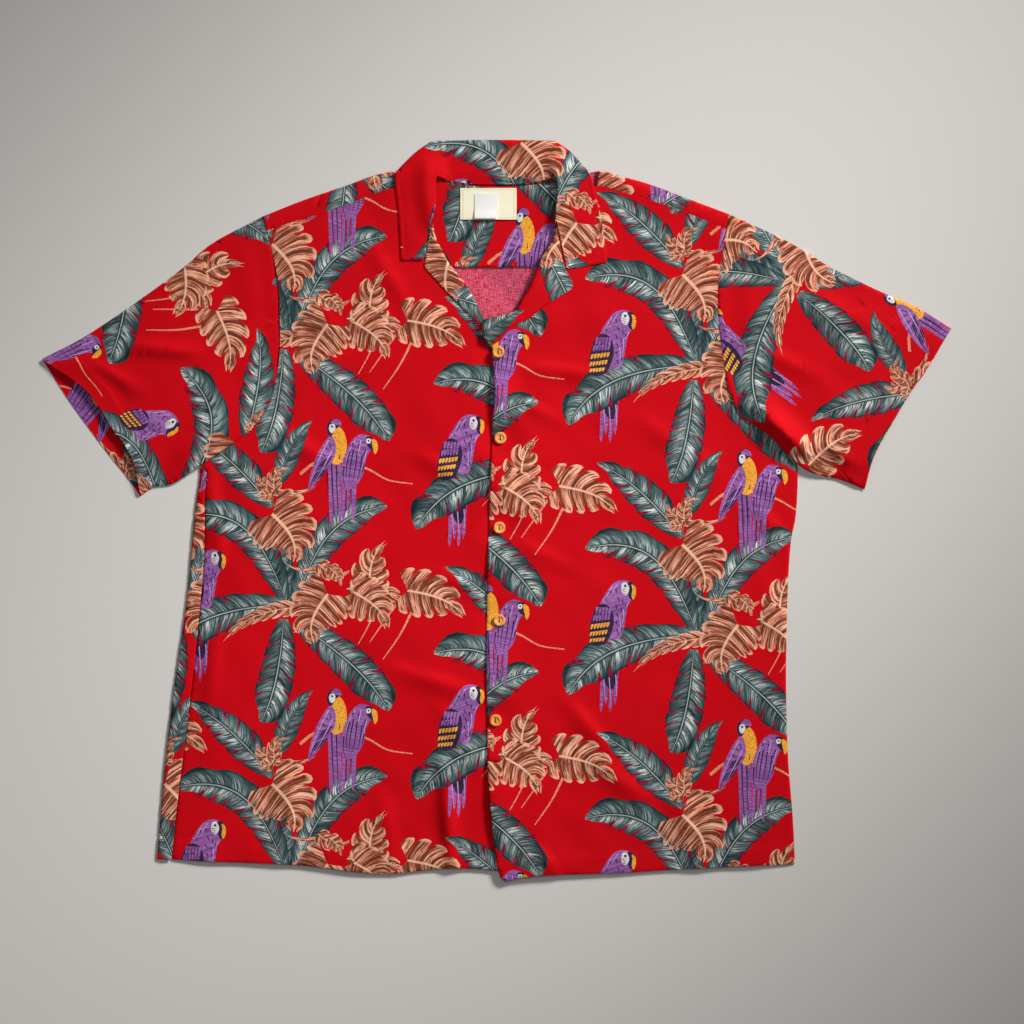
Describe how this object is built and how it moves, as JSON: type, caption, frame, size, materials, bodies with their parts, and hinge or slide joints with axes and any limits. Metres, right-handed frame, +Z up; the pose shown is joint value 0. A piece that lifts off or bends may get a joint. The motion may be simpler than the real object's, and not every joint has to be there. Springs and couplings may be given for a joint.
{
  "type": "hawaiian shirt",
  "caption": "Short-sleeved aloha shirt with an open camp collar and a buttoned front, laid flat with the front up.",
  "frame": {"origin": "middle of the laid-out shirt, on the surface that it lies on", "axes": "+X towards the wearer's left sleeve, +Y towards the collar, +Z up out of the surface, with the front of the shirt up"},
  "size_m": [0.9545, 0.778, 0.01],
  "materials": {
    "printed_cloth": "smooth rayon with a faint sheen, printed on the right side",
    "label_cloth": "woven satin label, bare",
    "tab_cloth": "white woven tab, bare",
    "button_shell": "polished coconut-coloured button"
  },
  "bodies": {
    "root": {"back": "printed_cloth", "yoke": "printed_cloth", "yoke_facing": "printed_cloth", "front_right": "printed_cloth", "front_left": "printed_cloth", "facing_right": "printed_cloth", "facing_left": "printed_cloth", "sleeve_right": "printed_cloth", "sleeve_left": "printed_cloth", "collar": "printed_cloth", "label": "label_cloth", "size_tab": "tab_cloth", "button_1": "button_shell", "button_2": "button_shell", "button_3": "button_shell", "button_4": "button_shell", "button_5": "button_shell"}
  },
  "joints": []
}
